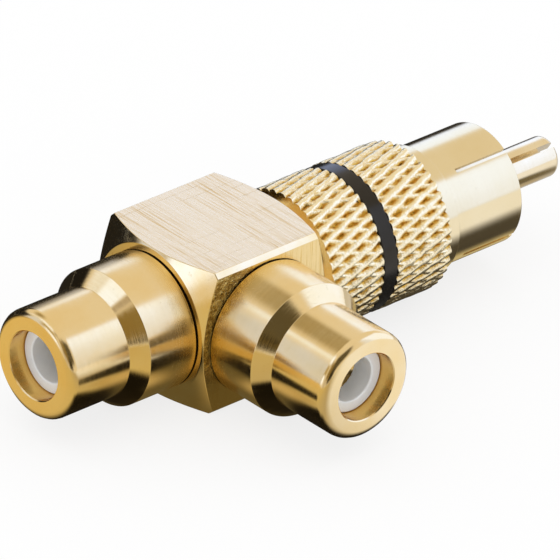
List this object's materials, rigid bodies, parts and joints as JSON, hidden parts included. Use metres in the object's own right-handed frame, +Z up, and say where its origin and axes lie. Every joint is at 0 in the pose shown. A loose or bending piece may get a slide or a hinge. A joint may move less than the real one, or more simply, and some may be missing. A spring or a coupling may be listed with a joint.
{
  "type": "rca y adapter",
  "caption": "Gold-plated phono adapter: a square block joins a plug with a knurled collar to an inline jack and a side jack.",
  "frame": {"origin": "on the underside of the square block, below the point where the three axes cross", "axes": "+X along the plug, towards its pin; -Y along the side jack, towards its mouth; +Z up, with all three axes 5.75 mm above the origin"},
  "size_m": [0.049, 0.0225, 0.0115],
  "materials": {
    "gold_block": "gold-plated brass, finely brushed",
    "gold_shell": "gold-plated brass, polished",
    "gold_collar": "gold-plated brass, diamond knurl",
    "gold_contact": "gold-plated brass, smooth",
    "bare_brass": "turned brass",
    "ring_black": "glossy black",
    "insulator_white": "white, satin"
  },
  "bodies": {
    "root": {"body_block": "gold_block", "plug_shell": "gold_shell", "knurled_collar": "gold_collar", "colour_ring": "ring_black", "plug_insulator": "insulator_white", "plug_pin": "gold_contact", "centre_rod": "bare_brass", "inline_jack_shell": "gold_shell", "inline_jack_insulator": "insulator_white", "inline_jack_contact": "gold_contact", "side_jack_shell": "gold_shell", "side_jack_insulator": "insulator_white", "side_jack_contact": "gold_contact"}
  },
  "joints": []
}
